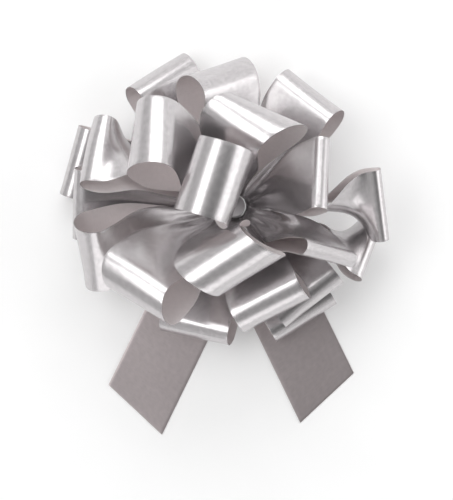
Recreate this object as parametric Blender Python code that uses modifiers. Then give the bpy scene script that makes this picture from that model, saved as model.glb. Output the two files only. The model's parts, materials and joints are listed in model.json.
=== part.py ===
"""A pre-made gift pull bow, lying on its back as it does on top of a parcel.

Two wide ribbons are heat-sealed to each other at even steps, with two thin pull strings running between
them. Pulling the strings has stacked the seals into a short core, and the ribbon between each two seals
has buckled out into a pair of loops, one on each side. Two ribbon ends are left over as tails.

The origin is the middle of the base seal's flat underside, +Z runs up the core, and the tails point to -Y.
Every loop is built along its own X axis, from its root at the core out to its round end.
"""

from math import cos, radians, sin, tan

import bmesh
import bpy
from mathutils import Euler, Matrix, Vector

MM = 0.001

# The ribbon
RIBBON_WIDTH = 32 * MM
RIBBON_THICKNESS = 0.3 * MM
GATHERED_WIDTH = 6.4 * MM  # the ribbon's width where it is bunched at the core
GATHER_LENGTH = 48 * MM  # the distance over which the bunched ribbon spreads to its full width
LEG_GAP = 0.5 * MM  # between the middles of a loop's two legs at the core
LEG_OPENING = 1.3  # how late a loop's legs part; 1 is a plain ease
CLEARANCE = 0.4 * MM  # between neighbouring pieces at the core

# The core
SEAL_RADIUS = 4.8 * MM
SEAL_HEIGHT = 1.0 * MM
SEAL_PITCH = 1.8 * MM
STRING_HOLE_RADIUS = 2.2 * MM
SEAL_COUNT = 10  # above the base seal; the topmost one is the crown, where the strings end
BASE_HEIGHT = 3.2 * MM
BASE_FLOOR = 0.8 * MM  # solid material under the base seal's string slot
THROUGH = 4 * SEAL_RADIUS  # a cutter this long passes right through a seal
CROWN_CAP = 0.5 * MM
FIRST_LOOP_HEIGHT = 2.6 * MM  # of the lowest pair of loops' roots
ROOT_RADIUS = SEAL_RADIUS + 2 * CLEARANCE

# The pull strings
STRING_WIDTH = 3 * MM
STRING_THICKNESS = 0.3 * MM
STRING_SPACING = 0.8 * MM  # between the middles of the two strings, face to face in the core
STRING_FREE_LENGTH = 42 * MM
STRING_LEVEL = 1.3 * MM  # height of the strings' free ends, which run out over the tails

# The tails
TAIL_LENGTHS = {"left": 103 * MM, "right": 97 * MM}  # from the core to the middle of the cut
TAIL_AZIMUTHS = {"left": 244, "right": 296}
TAIL_CUT_SLOPES = {"left": 17, "right": -17}  # degrees off square; the inner corner reaches furthest
TAIL_ROOT_WIDTH = 4.4 * MM

# Mesh fineness
LEG_STEPS = 7
END_STEPS = 10
WIDTH_STEPS = 2
TAIL_STEPS = 14
ROUND_STEPS = 32
SHARP_ANGLE = 40  # degrees; edges sharper than this stay crisp

# One row per loop: name, seal, azimuth, elevation and twist (degrees), length and girth (mm), flare, skew
# and lean (degrees).
# Azimuth runs anticlockwise from +X, elevation is the loop's tilt above the base plane, twist is how far
# its round end is turned about its own length, girth is how far apart its legs are at their widest, and
# flare is how much further apart they are at the ribbon's +Y edge than in its middle, as a share. Skew is
# how far the upper leg is shifted towards +Y over the lower one, as a share of its rise, and lean is how far
# both legs are turned halfway out, where neighbours press some ribbons on edge.
LOOPS = (
    ("low_loop_1", 0, 302, 9, -1, 57, 13, 0, 0, 0),
    ("low_loop_2", 0, 164, 5, -9, 72, 11, 0, 0, 0),
    ("low_loop_3", 1, 253, 17, 17, 58, 14, 0, 0, 0),
    ("low_loop_4", 1, 120, 10, 25, 66, 14, 0.1, 0, 0),
    ("low_loop_5", 2, 343, 14, -22, 61, 7, 0, 0, -80),
    ("low_loop_6", 2, 55, 13, -20, 59, 15, -0.1, 0, 0),
    ("low_loop_7", 3, 179, 9, -15, 67, 10, 0, 0, 0),
    ("low_loop_8", 3, 97, 21, 37, 60, 19, 0.15, 0, 0),
    ("middle_loop_1", 4, 0, 27, 18, 67, 7, 0, 0, 80),
    ("middle_loop_2", 4, 199, 19, -35, 69, 17, -0.15, 0, 0),
    ("middle_loop_3", 5, 309, 25, 0, 55, 12, 0, 0, 0),
    ("middle_loop_4", 5, 159, 25, 25, 69, 12, 0, 0, 58),
    ("middle_loop_5", 6, 19, 52, -28, 57, 8, 0, 0, 0),
    ("middle_loop_6", 6, 222, 40, 26, 69, 18, 0, -0.4, 0),
    ("high_loop_1", 7, 141, 50, 42, 68, 21, 0.1, 0, 0),
    ("high_loop_2", 7, 290, 40, 13, 57, 17, 0, 0, 0),
    ("high_loop_3", 8, 79, 54, -22, 58, 20, -0.2, 0.5, 0),
    ("high_loop_4", 8, 332, 45, -80, 58, 7, 0, 0, 0),
    ("top_loop_1", 9, 134, 83, 29, 68, 24, 0, 0, 0),
    ("top_loop_2", 9, 265, 71, 40, 65, 22, 0, -0.4, 0),
)


def clear_scene():
    """Starts from an empty scene."""
    for leftover in list(bpy.data.objects):
        bpy.data.objects.remove(leftover, do_unlink=True)


def make_collection(name, hidden=False):
    """A collection in the scene; a hidden one holds only cutting tools."""
    collection = bpy.data.collections.new(name)
    collection.hide_render = hidden
    bpy.context.scene.collection.children.link(collection)
    return collection


def make_material(name, colour, roughness, metallic):
    """A plain Principled material with a linear RGB colour."""
    material = bpy.data.materials.new(name)
    material.use_nodes = True
    shader = material.node_tree.nodes["Principled BSDF"]
    shader.inputs["Base Color"].default_value = (*colour, 1)
    shader.inputs["Roughness"].default_value = roughness
    shader.inputs["Metallic"].default_value = metallic
    return material


def make_object(name, build, collection, material):
    """A smooth-shaded object whose mesh is filled in by build(bmesh)."""
    mesh = bpy.data.meshes.new(name)
    shape = bmesh.new()
    build(shape)
    bmesh.ops.recalc_face_normals(shape, faces=shape.faces)
    shape.to_mesh(mesh)
    shape.free()
    mesh.shade_smooth()
    mesh.set_sharp_from_angle(angle=radians(SHARP_ANGLE))
    if material is not None:
        mesh.materials.append(material)
    made = bpy.data.objects.new(name, mesh)
    collection.objects.link(made)
    return made


def add_thickness(sheet, thickness):
    """Turns a sheet into a closed strip, half its thickness on each side."""
    solidify = sheet.modifiers.new("thickness", "SOLIDIFY")
    solidify.thickness = thickness
    solidify.offset = 0
    solidify.use_even_offset = True


def cut_away(body, cutter, name):
    """Takes the cutter's shape out of the body."""
    boolean = body.modifiers.new(name, "BOOLEAN")
    boolean.operation = "DIFFERENCE"
    boolean.solver = "EXACT"
    boolean.object = cutter


def ease(share):
    """0 to 1 with a gentle start and a gentle stop."""
    share = min(max(share, 0), 1)
    return share * share * (3 - 2 * share)


def half_width(reach, root_width):
    """Half the ribbon's width, this far out from its root."""
    spread = ease(reach / GATHER_LENGTH)
    return (root_width + (RIBBON_WIDTH - root_width) * spread) / 2


def loop_profile(length, girth):
    """The loop seen from its side: (reach, rise) points from the lower leg's root to the upper one's."""
    radius = girth / 2
    straight = length - radius
    upper_leg = []
    for step in range(LEG_STEPS):
        share = step / LEG_STEPS
        rise = LEG_GAP / 2 + (radius - LEG_GAP / 2) * ease(share) ** LEG_OPENING
        upper_leg.append((straight * share, rise))
    lower_leg = [(reach, -rise) for reach, rise in upper_leg]
    round_end = []
    for step in range(END_STEPS + 1):
        angle = radians(-90 + 180 * step / END_STEPS)
        round_end.append((straight + radius * cos(angle), radius * sin(angle)))
    return lower_leg + round_end + upper_leg[::-1]


def loop_sheet(length, girth, twist, flare, skew, lean):
    """Fills a bmesh with the loop's ribbon as a sheet, its root at the origin and its length along +X."""
    profile = loop_profile(length, girth)

    def build(shape):
        bmesh.ops.create_grid(shape, x_segments=len(profile) - 1, y_segments=WIDTH_STEPS, size=1)
        for vertex in shape.verts:
            along = round((vertex.co.x + 1) / 2 * (len(profile) - 1))
            across = vertex.co.y
            reach, rise = profile[along]
            outward = ease(reach / length)
            midway = ease(4 * reach / length * (1 - reach / length)) ** 2
            rise *= 1 + flare * across * outward
            side = across * half_width(reach, GATHERED_WIDTH) + skew * rise
            turn = Matrix.Rotation(radians(twist * outward + lean * midway), 3, "X")
            vertex.co = turn @ Vector((reach, side, rise))

    return build


def loop_rotation(azimuth, elevation):
    """Points +X at this azimuth and elevation, and leaves +Y level."""
    return Euler((0, -radians(elevation), radians(azimuth)), "XYZ")


def seal_height(seal):
    """Height of the middle of a seal, where its loops hinge."""
    return FIRST_LOOP_HEIGHT + SEAL_PITCH * seal


def make_loop(row, collection, material):
    """One ribbon loop, with its origin on the level axis about which it flexes at its seal."""
    name, seal, azimuth, elevation, twist, length, girth, flare, skew, lean = row
    sheet = loop_sheet(length * MM, girth * MM, twist, flare, skew, lean)
    loop = make_object(name, sheet, collection, material)
    add_thickness(loop, RIBBON_THICKNESS)
    out = Vector((cos(radians(azimuth)), sin(radians(azimuth)), 0))
    loop.location = out * ROOT_RADIUS + Vector((0, 0, seal_height(seal)))
    loop.rotation_euler = loop_rotation(azimuth, elevation)
    return loop


def tail_sheet(length, cut_slope):
    """Fills a bmesh with a flat ribbon end along +X, gathered at its root and cut on a slant."""

    def build(shape):
        bmesh.ops.create_grid(shape, x_segments=TAIL_STEPS, y_segments=WIDTH_STEPS, size=1)
        for vertex in shape.verts:
            share = (vertex.co.x + 1) / 2
            reach = length * share
            side = vertex.co.y * half_width(reach, TAIL_ROOT_WIDTH)
            slant = side * tan(radians(cut_slope)) * share
            vertex.co = Vector((reach + slant, side, 0))

    return build


def make_tail(side, collection, material):
    """One flat ribbon end, with its origin on the upright axis through the core about which it swings."""
    sheet = tail_sheet(TAIL_LENGTHS[side] - ROOT_RADIUS, TAIL_CUT_SLOPES[side])
    tail = make_object(f"{side}_tail", sheet, collection, material)
    tail.data.transform(Matrix.Translation((ROOT_RADIUS, 0, 0)))
    add_thickness(tail, RIBBON_THICKNESS)
    tail.location.z = RIBBON_THICKNESS / 2
    tail.rotation_euler.z = radians(TAIL_AZIMUTHS[side])
    return tail


def box(size, middle):
    """Fills a bmesh with a box."""

    def build(shape):
        bmesh.ops.create_cube(shape, size=1)
        bmesh.ops.scale(shape, vec=Vector(size), verts=shape.verts)
        bmesh.ops.translate(shape, vec=Vector(middle), verts=shape.verts)

    return build


def disc(radius, bottom, top):
    """Fills a bmesh with an upright round disc."""

    def build(shape):
        bmesh.ops.create_cone(
            shape,
            cap_ends=True,
            segments=ROUND_STEPS,
            radius1=radius,
            radius2=radius,
            depth=top - bottom,
        )
        bmesh.ops.translate(shape, vec=Vector((0, 0, (top + bottom) / 2)), verts=shape.verts)

    return build


def make_cutter(name, build, cutters):
    """A cutting tool, shown as wires and never rendered."""
    cutter = make_object(name, build, cutters, None)
    cutter.hide_render = True
    cutter.display_type = "WIRE"
    return cutter


def make_base_seal(collection, cutters, material):
    """The lowest seal: flat below, with a slot through which the strings leave between the tails."""
    base = make_object("base_seal", disc(SEAL_RADIUS, 0, BASE_HEIGHT), collection, material)
    slot_width = 2 * STRING_WIDTH + 3 * CLEARANCE  # two strings, clear of each other and of the walls
    slot_height = 2 * (STRING_LEVEL - BASE_FLOOR)
    slot_shape = box((slot_width, THROUGH, slot_height), (0, 0, STRING_LEVEL))
    slot = make_cutter("base_slot", slot_shape, cutters)
    hole = make_cutter("base_hole", disc(STRING_HOLE_RADIUS, STRING_LEVEL, THROUGH), cutters)
    cut_away(base, slot, "string slot")
    cut_away(base, hole, "string hole")
    return base


def make_seal(number, collection, cutters, material):
    """One heat-sealed pinch of the ribbons, holed for the strings; the crown's hole stops under a cap."""
    middle = seal_height(number)
    bottom = middle - SEAL_HEIGHT / 2
    top = middle + SEAL_HEIGHT / 2
    crown = number == SEAL_COUNT
    name = "crown_seal" if crown else f"seal_{number}"
    seal = make_object(name, disc(SEAL_RADIUS, bottom, top), collection, material)
    hole_top = top - CROWN_CAP if crown else top + CLEARANCE
    hole_shape = disc(STRING_HOLE_RADIUS, bottom - CLEARANCE, hole_top)
    hole = make_cutter(f"{name}_hole", hole_shape, cutters)
    cut_away(seal, hole, "string hole")
    return seal


def make_strings(collection, material):
    """Two pull strings, each in two pieces: the run up the core, and the free end under the bow."""
    run_bottom = STRING_LEVEL + 2 * CLEARANCE
    run_top = seal_height(SEAL_COUNT) + SEAL_HEIGHT / 2 - CROWN_CAP - CLEARANCE
    for side, sign in (("left", -1), ("right", 1)):
        run_size = (STRING_WIDTH, STRING_THICKNESS, run_top - run_bottom)
        run_middle = (0, sign * STRING_SPACING / 2, (run_top + run_bottom) / 2)
        make_object(f"{side}_string_run", box(run_size, run_middle), collection, material)
        end_size = (STRING_WIDTH, STRING_FREE_LENGTH, STRING_THICKNESS)
        end_middle = (
            sign * (STRING_WIDTH + CLEARANCE) / 2,
            STRING_WIDTH / 2 - STRING_FREE_LENGTH / 2,
            STRING_LEVEL,
        )
        make_object(f"{side}_string_end", box(end_size, end_middle), collection, material)


def main():
    clear_scene()
    bow = make_collection("gift bow")
    cutters = make_collection("cutters", hidden=True)
    ribbon = make_material("silver ribbon", (0.55, 0.53, 0.53), 0.32, 0.7)
    sealed = make_material("sealed ribbon", (0.40, 0.38, 0.38), 0.45, 0.5)
    string = make_material("pull string", (0.60, 0.59, 0.59), 0.4, 0.4)
    make_base_seal(bow, cutters, sealed)
    for number in range(1, SEAL_COUNT + 1):
        make_seal(number, bow, cutters, sealed)
    make_strings(bow, string)
    for row in LOOPS:
        make_loop(row, bow, ribbon)
    for side in TAIL_LENGTHS:
        make_tail(side, bow, ribbon)


main()
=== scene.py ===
"""The looks of the pre-made gift pull bow: fine satin ribbons, crimped seals, floor, light and camera.

Each loop and tail of the CAD frame is measured, and a fine sheet of ribbon is laid exactly where it is.
The sheet adds the pleats of the gathered core and the small waves that the coarse CAD strip leaves out.
"""

import json
import random
from math import atan, cos, pi, radians, sin

import bpy
import numpy as np
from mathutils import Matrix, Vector


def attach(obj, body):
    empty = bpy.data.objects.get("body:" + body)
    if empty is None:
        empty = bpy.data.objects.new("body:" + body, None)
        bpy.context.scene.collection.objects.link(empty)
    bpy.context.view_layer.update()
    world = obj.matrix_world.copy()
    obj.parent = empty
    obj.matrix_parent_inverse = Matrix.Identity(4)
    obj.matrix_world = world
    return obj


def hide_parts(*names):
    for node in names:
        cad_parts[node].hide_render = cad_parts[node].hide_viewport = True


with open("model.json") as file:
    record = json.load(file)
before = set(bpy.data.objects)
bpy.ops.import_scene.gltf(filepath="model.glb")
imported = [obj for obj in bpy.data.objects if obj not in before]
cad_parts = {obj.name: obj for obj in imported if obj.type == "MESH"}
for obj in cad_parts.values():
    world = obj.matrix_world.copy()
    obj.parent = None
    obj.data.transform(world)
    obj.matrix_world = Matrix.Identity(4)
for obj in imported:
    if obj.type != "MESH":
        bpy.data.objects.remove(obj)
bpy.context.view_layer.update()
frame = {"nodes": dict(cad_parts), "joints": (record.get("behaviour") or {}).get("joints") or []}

MM = 0.001

# The ribbon; the sizes are those of the CAD loops and tails
RIBBON_WIDTH = 32 * MM
FILM_THICKNESS = 0.16 * MM
CAD_THICKNESS = 0.3 * MM
LOOP_ROOT_WIDTH = 6.4 * MM
TAIL_ROOT_WIDTH = 4.4 * MM
GATHER_LENGTH = 48 * MM
LEG_GAP = 0.5 * MM
LEG_OPENING = 1.3  # how late a loop's legs part: 1 is a plain ease
LARGEST_LEAN = 90  # a loop's lean halfway out is searched up to this, in whole degrees

# Fineness of the sheets
ALONG_STEPS = 150
ACROSS_STEPS = 20
TAIL_STEPS = 90
LEG_SAMPLES = 60
END_SAMPLES = 60

# Small shapes on the ribbon
PLEAT_HEIGHT = 0.3 * MM
PLEAT_COUNT = 2.5
PLEAT_RISE = 10 * MM  # how far out the pleats are at their full height
WAVE_HEIGHT = 0.25 * MM
WAVE_START = 12 * MM
WAVE_RISE = 30 * MM  # how much further out the waves are at their full height
WAVE_LENGTHS = (9, 13)  # shortest and longest, in millimetres
WAVE_TURNS = (1.2, 2.2)  # least and most change across the ribbon
TAIL_CURL = 0.06 * MM
RIPPLE_LENGTH = 7 * MM

# Patterns in the materials: scales are per metre
PATTERN_RANGE = (0.3, 0.7)  # most of a pattern's values lie between these
GRAIN_SCALE = 2400.0
GRAIN_STRETCH = (1, 0.12, 1)  # the grain is drawn out across the ribbon
MOTTLE_SCALE = 420.0
GRAIN_HEIGHT = 0.02 * MM
GRAIN_BUMP = 0.13
CRIMP_HEIGHT = 0.1 * MM
CRIMP_BUMP = 0.5
CRIMP_UNEVENNESS = 1.5

# The surroundings: (how far towards the dark patch, as a cosine; brightness)
DARK_PATCH = (325, 27)  # azimuth and tilt off the zenith, in degrees
SURROUNDINGS = ((0.0, 1.2), (0.45, 1.05), (0.8, 0.6), (0.9, 0.46), (0.97, 0.12), (1.0, 0.1))
SIDE_GAIN = 0.3  # how much the surroundings brighten towards +X
SOFTBOX_DISTANCE = 1.2

# The floor and the camera
FLOOR_SIZE = 6
FLOOR_DROP = 0.2 * MM  # how far it is under the bow
FLOOR_GLOW = 0.1
CAMERA_HEIGHT = 800 * MM
SENSOR_HEIGHT = 24  # millimetres, as lens lengths are
VIEW_HEIGHT = 228.5 * MM
VIEW_CENTRE = (-3.4 * MM, -19.6 * MM)


def ease(share):
    """0 to 1 with a gentle start and a gentle stop."""
    share = np.clip(share, 0, 1)
    return share * share * (3 - 2 * share)


def half_width(reach, root_width):
    """Half the ribbon's width, this far out from its root."""
    return (root_width + (RIBBON_WIDTH - root_width) * ease(reach / GATHER_LENGTH)) / 2


def node_points(name):
    """Where the CAD node's vertices are in the row frame, each place once."""
    places = [vertex.co for vertex in frame["nodes"][name].data.vertices]
    return np.unique(np.round(np.array(places, float), 6), axis=0)


def joint_of(body):
    """The joint that moves this body."""
    return next(joint for joint in frame["joints"] if joint["child"] == body)


def unit(vector):
    """The same direction with a length of one."""
    return vector / np.linalg.norm(vector)


def turn_back(share, side, rise, twist, lean):
    """Turns a ribbon's cross-sections back to flat, from the turns at its round end and halfway out."""
    turn = twist * ease(share) + lean * ease(4 * share * (1 - share)) ** 2
    flat_side = side * np.cos(turn) + rise * np.sin(turn)
    flat_rise = rise * np.cos(turn) - side * np.sin(turn)
    return flat_side, flat_rise


def flat_points(place, twist, lean):
    """A loop's points with its ribbon turned back and its skew taken out, and the skew itself."""
    share, side, rise = place
    flat_side, flat_rise = turn_back(share, side, rise, twist, lean)
    skew = (flat_side * flat_rise).sum() / (flat_rise * flat_rise).sum()
    return flat_side - skew * flat_rise, flat_rise, skew


def find_lean(place, length, twist):
    """The lean that puts all points on the ribbon's two edges and its middle, where the CAD has them."""
    edge = half_width(place[0] * length, LOOP_ROOT_WIDTH)

    def misfit(lean):
        off_middle = np.abs(flat_points(place, twist, lean)[0])
        return np.minimum(off_middle, np.abs(off_middle - edge)).sum()

    return min(radians(1) * np.arange(-LARGEST_LEAN, LARGEST_LEAN + 1), key=misfit)


def measure_loop(name):
    """Reads a CAD loop's place and all its shape from its joint and its mesh."""
    joint = joint_of(name)
    root = np.array(joint["pos_m"], float)
    level = -unit(np.array(joint["axis"], float))
    points = node_points(name) - root
    middle = points.mean(axis=0)
    out = unit(middle - level * (middle @ level))
    up = np.cross(out, level)
    axes = np.array([out, level, up]).T
    reach, side, rise = (points @ axes).T
    length = reach.max() - CAD_THICKNESS / 2
    place = (reach / length, side, rise)
    tip = reach > length
    corner = np.hypot(side[tip], rise[tip]).argmax()
    twist = atan(rise[tip][corner] / side[tip][corner])
    lean = find_lean(place, length, twist)
    flat_side, flat_rise, skew = flat_points(place, twist, lean)
    stand = np.abs(flat_rise) - CAD_THICKNESS / 2
    edge = RIBBON_WIDTH / 2 - CAD_THICKNESS
    left_half = stand[flat_side > edge].max()
    right_half = stand[flat_side < -edge].max()
    girth = left_half + right_half
    flare = (left_half - right_half) / girth / ease(1 - girth / 2 / length)
    return {
        "root": root, "axes": axes, "length": length, "girth": girth,
        "twist": twist, "lean": lean, "skew": skew, "flare": flare,
    }


def loop_profile(length, girth):
    """The loop seen from its side, evenly spaced from the lower leg's root round to the upper one's."""
    radius = girth / 2
    straight = length - radius
    share = np.linspace(0, 1, LEG_SAMPLES, endpoint=False)
    rise = LEG_GAP / 2 + (radius - LEG_GAP / 2) * ease(share) ** LEG_OPENING
    leg = np.column_stack([straight * share, rise])
    angle = np.linspace(-pi / 2, pi / 2, END_SAMPLES)
    end = np.column_stack([straight + radius * np.cos(angle), radius * np.sin(angle)])
    line = np.concatenate([leg * [1, -1], end, leg[::-1]])
    steps = np.linalg.norm(np.diff(line, axis=0), axis=1)
    travel = np.concatenate([[0], np.cumsum(steps)])
    even = np.linspace(0, travel[-1], ALONG_STEPS + 1)
    line = np.column_stack([np.interp(even, travel, line[:, 0]), np.interp(even, travel, line[:, 1])])
    return line, even


def sheet_object(name, points, travel, across):
    """A quad sheet from a grid of points, with a UV map in metres along and across the ribbon."""
    rows, columns = points.shape[:2]
    corners = [
        (row * columns + column, (row + 1) * columns + column,
         (row + 1) * columns + column + 1, row * columns + column + 1)
        for row in range(rows - 1)
        for column in range(columns - 1)
    ]
    mesh = bpy.data.meshes.new(name)
    mesh.from_pydata(points.reshape(-1, 3).tolist(), [], corners)
    mesh.update()
    layer = mesh.uv_layers.new(name="ribbon")
    for loop in mesh.loops:
        row, column = divmod(loop.vertex_index, columns)
        layer.data[loop.index].uv = (travel[row], across[column] * RIBBON_WIDTH / 2)
    mesh.shade_smooth()
    made = bpy.data.objects.new(name, mesh)
    bpy.context.scene.collection.objects.link(made)
    return made


def finish_ribbon(sheet, body, node, face, back):
    """Gives a sheet its thickness and its two sides, and puts it on its body in place of the CAD node."""
    sheet.data.materials.append(face)
    sheet.data.materials.append(back)
    solidify = sheet.modifiers.new("film", "SOLIDIFY")
    solidify.thickness = FILM_THICKNESS
    solidify.offset = 0
    solidify.material_offset = 1
    normals = sheet.modifiers.new("flat to the edge", "WEIGHTED_NORMAL")
    normals.weight = 100
    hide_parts(node)
    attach(sheet, body)


def surface_offset(reach, across, travel, dice):
    """How far the ribbon stands off its plain shape: pleats near the core and slow waves further out."""
    gathered = ease(reach / PLEAT_RISE) * (1 - ease(reach / GATHER_LENGTH))
    phase = dice.uniform(0, 2 * pi)
    pleats = PLEAT_HEIGHT * gathered * np.sin(PLEAT_COUNT * pi * across + phase)
    spread = ease((reach - WAVE_START) / WAVE_RISE)
    slow = np.sin(travel / (dice.uniform(*WAVE_LENGTHS) * MM) + phase)
    uneven = np.cos(across * dice.uniform(*WAVE_TURNS) + phase)
    bow = dice.uniform(-1, 1) * across * across
    return pleats + WAVE_HEIGHT * spread * (slow * uneven + bow)


def make_loop(name, number, face, back):
    """A fine ribbon loop over one CAD loop."""
    dice = random.Random(number)
    found = measure_loop(name)
    line, travel = loop_profile(found["length"], found["girth"])
    across = np.linspace(-1, 1, ACROSS_STEPS + 1)[None, :]
    reach = np.repeat(line[:, :1], ACROSS_STEPS + 1, axis=1)
    outward = ease(reach / found["length"])
    slope = np.gradient(line, axis=0)
    normal = np.column_stack([slope[:, 1], -slope[:, 0]])
    normal /= np.linalg.norm(normal, axis=1, keepdims=True)
    stand = surface_offset(reach, across, travel[:, None], dice)
    along = reach + normal[:, :1] * stand
    rise = line[:, 1:] * (1 + found["flare"] * across * outward) + normal[:, 1:] * stand
    side = across * half_width(reach, LOOP_ROOT_WIDTH) + found["skew"] * rise
    share = reach / found["length"]
    turned = turn_back(share, side, rise, -found["twist"], -found["lean"])
    points = np.stack([along, *turned], axis=-1) @ found["axes"].T + found["root"]
    # The upper leg comes first, so that the sheet's face looks outwards
    sheet = sheet_object(f"ribbon_{name}", points[::-1], travel, across[0])
    finish_ribbon(sheet, name, name, face, back)


def cut_corners(flat):
    """The two corners of a tail's cut end: the furthest point, and the furthest of those across from it."""
    distance = np.linalg.norm(flat, axis=1)
    first = flat[distance.argmax()]
    across_from = np.linalg.norm(flat - first, axis=1) > RIBBON_WIDTH - CAD_THICKNESS
    second = flat[across_from][distance[across_from].argmax()]
    return np.array([first, second])


def make_tail(name, number, face, back):
    """A fine ribbon end over one CAD tail."""
    dice = random.Random(100 + number)
    points = node_points(name)
    corners = cut_corners(points[:, :2])
    out = unit(corners.mean(axis=0))
    side = np.array([-out[1], out[0]])
    start = (points[:, :2] @ out).min()
    reaches, sides = corners @ out, corners @ side
    low_edge, high_edge = reaches[np.argsort(sides)]
    across = np.linspace(-1, 1, ACROSS_STEPS + 1)
    share = np.linspace(0, 1, TAIL_STEPS + 1)[:, None]
    reach = share * ((low_edge + high_edge) / 2 - start)
    slant = share * across * (high_edge - low_edge) / 2
    width = across * half_width(reach, TAIL_ROOT_WIDTH)
    curl = TAIL_CURL * across**2 * ease(reach / GATHER_LENGTH)
    ripple = TAIL_CURL * np.sin(reach / RIPPLE_LENGTH + dice.uniform(0, pi)) * across**2
    height = (points[:, 2].min() + points[:, 2].max()) / 2 + curl + ripple * ease(reach / GATHER_LENGTH)
    flat = (start + reach + slant)[..., None] * out + width[..., None] * side
    grid = np.concatenate([flat, height[..., None]], axis=-1)
    sheet = sheet_object(f"ribbon_{name}", grid, reach[:, 0], across)
    finish_ribbon(sheet, name, name, face, back)


def add_node(material, kind, **inputs):
    """A shader node with its inputs set."""
    node = material.node_tree.nodes.new(kind)
    for key, value in inputs.items():
        node.inputs[key.replace("_", " ")].default_value = value
    return node


def new_material(name, roughness, metallic):
    """An empty Principled material and its shader node."""
    material = bpy.data.materials.new(name)
    material.use_nodes = True
    shader = material.node_tree.nodes["Principled BSDF"]
    shader.inputs["Roughness"].default_value = roughness
    shader.inputs["Metallic"].default_value = metallic
    return material, shader


def shade_with(material, shader, pattern, colour, contrast):
    """Lets a pattern lighten and darken the colour by up to the contrast."""
    links = material.node_tree.links
    low, high = PATTERN_RANGE
    spread = {"From_Min": low, "From_Max": high, "To_Min": 1 - contrast, "To_Max": 1 + contrast}
    share = add_node(material, "ShaderNodeMapRange", **spread)
    links.new(pattern, share.inputs["Value"])
    tint = material.node_tree.nodes.new("ShaderNodeVectorMath")
    tint.operation = "SCALE"
    tint.inputs[0].default_value = colour
    links.new(share.outputs["Result"], tint.inputs["Scale"])
    links.new(tint.outputs["Vector"], shader.inputs["Base Color"])


def bump_with(material, shader, pattern, strength, height):
    """Lets a pattern raise the surface a little."""
    links = material.node_tree.links
    bump = add_node(material, "ShaderNodeBump", Strength=strength, Distance=height)
    links.new(pattern, bump.inputs["Height"])
    links.new(bump.outputs["Normal"], shader.inputs["Normal"])


def ribbon_material(name, colour, roughness, metallic, contrast):
    """Satin film: a fine grain drawn out across the ribbon, over a soft mottle."""
    material, shader = new_material(name, roughness, metallic)
    links = material.node_tree.links
    place = add_node(material, "ShaderNodeUVMap")
    place.uv_map = "ribbon"
    stretch = add_node(material, "ShaderNodeMapping", Scale=GRAIN_STRETCH)
    grain = add_node(material, "ShaderNodeTexNoise", Scale=GRAIN_SCALE, Detail=3.0)
    mottle = add_node(material, "ShaderNodeTexNoise", Scale=MOTTLE_SCALE, Detail=3.0)
    both = add_node(material, "ShaderNodeMix", Factor=0.5)
    links.new(place.outputs["UV"], stretch.inputs["Vector"])
    links.new(stretch.outputs["Vector"], grain.inputs["Vector"])
    links.new(place.outputs["UV"], mottle.inputs["Vector"])
    links.new(grain.outputs["Fac"], both.inputs["A"])
    links.new(mottle.outputs["Fac"], both.inputs["B"])
    shade_with(material, shader, both.outputs["Result"], colour, contrast)
    bump_with(material, shader, both.outputs["Result"], GRAIN_BUMP, GRAIN_HEIGHT)
    return material


def crimped_material(name, colour, ridges, roughness):
    """Film pressed into fine ridges, as by the bars of a heat sealer or by twisting into a string."""
    material, shader = new_material(name, roughness, metallic=0.8)
    links = material.node_tree.links
    place = add_node(material, "ShaderNodeTexCoord")
    wave = add_node(material, "ShaderNodeTexWave", Scale=ridges, Distortion=CRIMP_UNEVENNESS)
    links.new(place.outputs["Object"], wave.inputs["Vector"])
    shade_with(material, shader, wave.outputs["Fac"], colour, contrast=0.12)
    bump_with(material, shader, wave.outputs["Fac"], CRIMP_BUMP, CRIMP_HEIGHT)
    return material


def floor_material():
    """Pale matte card with a barely visible mottle, which glows a little."""
    material, shader = new_material("pale card", roughness=0.9, metallic=0.0)
    place = add_node(material, "ShaderNodeTexCoord")
    mottle = add_node(material, "ShaderNodeTexNoise", Scale=40.0, Detail=2.0)
    material.node_tree.links.new(place.outputs["Object"], mottle.inputs["Vector"])
    shade_with(material, shader, mottle.outputs["Fac"], (0.96, 0.96, 0.96), contrast=0.01)
    shader.inputs["Emission Color"].default_value = (1, 1, 1, 1)
    shader.inputs["Emission Strength"].default_value = FLOOR_GLOW
    return material


def make_floor():
    """A wide pale floor just under the bow."""
    bpy.ops.mesh.primitive_plane_add(size=FLOOR_SIZE, location=(0, 0, -FLOOR_DROP))
    floor = bpy.context.object
    floor.name = "floor"
    floor.data.materials.append(floor_material())


def direction(azimuth, tilt):
    """The unit vector at this azimuth that leans this far off the zenith, in degrees."""
    around = radians(azimuth)
    off = radians(tilt)
    return Vector((sin(off) * cos(around), sin(off) * sin(around), cos(off)))


def make_softbox(name, azimuth, tilt, size, brightness):
    """A soft area light that looks at the bow; tilt is how far it leans off the zenith, in degrees."""
    light = bpy.data.lights.new(name, "AREA")
    light.shape = "RECTANGLE"
    light.size = size[0]
    light.size_y = size[1]
    light.energy = brightness * pi * size[0] * size[1]
    lamp = bpy.data.objects.new(name, light)
    spot = direction(azimuth, tilt) * SOFTBOX_DISTANCE
    lamp.location = spot
    lamp.rotation_euler = spot.to_track_quat("Z", "Y").to_euler()
    bpy.context.scene.collection.objects.link(lamp)


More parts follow.
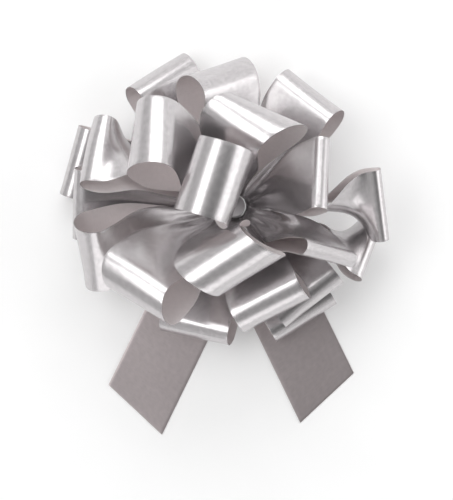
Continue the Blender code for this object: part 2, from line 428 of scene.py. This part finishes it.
def make_world():
    """Pale surroundings with one dark patch near the zenith, which gives the satin its dark bands."""
    world = bpy.data.worlds.new("studio")
    world.use_nodes = True
    tree = world.node_tree
    place = tree.nodes.new("ShaderNodeTexCoord")
    toward = tree.nodes.new("ShaderNodeVectorMath")
    toward.operation = "DOT_PRODUCT"
    toward.inputs[1].default_value = direction(*DARK_PATCH)
    shade = tree.nodes.new("ShaderNodeValToRGB")
    ramp = shade.color_ramp.elements
    ramp[0].position, level = SURROUNDINGS[0]
    ramp[0].color = (level, level, level, 1)
    ramp[1].position, level = SURROUNDINGS[-1]
    ramp[1].color = (level, level, level, 1)
    for position, level in SURROUNDINGS[1:-1]:
        ramp.new(position).color = (level, level, level, 1)
    tree.links.new(place.outputs["Generated"], toward.inputs[0])
    tree.links.new(toward.outputs["Value"], shade.inputs["Fac"])
    tree.links.new(shade.outputs["Color"], tree.nodes["Background"].inputs["Color"])
    split = tree.nodes.new("ShaderNodeSeparateXYZ")
    sideways = tree.nodes.new("ShaderNodeMath")
    sideways.operation = "MULTIPLY_ADD"
    sideways.inputs[1].default_value = SIDE_GAIN
    sideways.inputs[2].default_value = 1 - SIDE_GAIN
    tree.links.new(place.outputs["Generated"], split.inputs["Vector"])
    tree.links.new(split.outputs["X"], sideways.inputs[0])
    tree.links.new(sideways.outputs["Value"], tree.nodes["Background"].inputs["Strength"])
    bpy.context.scene.world = world


def make_camera():
    """A long lens straight above the bow, its up direction along +Y."""
    camera = bpy.data.cameras.new("camera")
    camera.sensor_fit = "VERTICAL"
    camera.sensor_height = SENSOR_HEIGHT
    camera.lens = SENSOR_HEIGHT * CAMERA_HEIGHT / VIEW_HEIGHT
    holder = bpy.data.objects.new("camera", camera)
    holder.location = (*VIEW_CENTRE, CAMERA_HEIGHT)
    bpy.context.scene.collection.objects.link(holder)
    bpy.context.scene.camera = holder


def make_ribbons():
    """All loops and tails, in the order of their names."""
    face = ribbon_material("satin face", (0.61, 0.586, 0.594), roughness=0.27, metallic=0.86, contrast=0.12)
    back = ribbon_material("satin back", (0.84, 0.79, 0.79), roughness=0.5, metallic=0.25, contrast=0.05)
    # The tails are the same satin as the face with painted shade: a darker, warmer colour for the dark
    # zenith that they reflect lying flat
    tail_satin_painted_shade = ribbon_material("satin tail", (0.57, 0.51, 0.515), roughness=0.38, metallic=1.0, contrast=0.09)
    loops = sorted(name for name in frame["nodes"] if "_loop_" in name)
    for number, name in enumerate(loops):
        make_loop(name, number, face, back)
    for number, name in enumerate(("left_tail", "right_tail")):
        make_tail(name, number, tail_satin_painted_shade, back)


def dress_core():
    """Gives the seals and the strings, which keep their CAD shapes, their materials."""
    sealed = crimped_material("sealed ribbon", (0.45, 0.43, 0.44), ridges=900.0, roughness=0.4)
    string = crimped_material("pull string", (0.62, 0.6, 0.6), ridges=1500.0, roughness=0.3)
    for name, node in frame["nodes"].items():
        if "seal" in name or "string" in name:
            node.data.materials.clear()
            node.data.materials.append(string if "string" in name else sealed)


def light_studio():
    """The surroundings and four softboxes, whose reflections are the bright bands on the satin."""
    make_world()
    make_softbox("key", azimuth=165, tilt=30, size=(0.9, 0.55), brightness=2.8)
    make_softbox("top", azimuth=90, tilt=50, size=(1.0, 0.5), brightness=2.4)
    make_softbox("right", azimuth=0, tilt=64, size=(1.0, 0.7), brightness=1.3)
    make_softbox("bottom", azimuth=270, tilt=68, size=(1.0, 0.6), brightness=1.0)
    bpy.context.scene.view_settings.view_transform = "Standard"


make_ribbons()
dress_core()
make_floor()
light_studio()
make_camera()
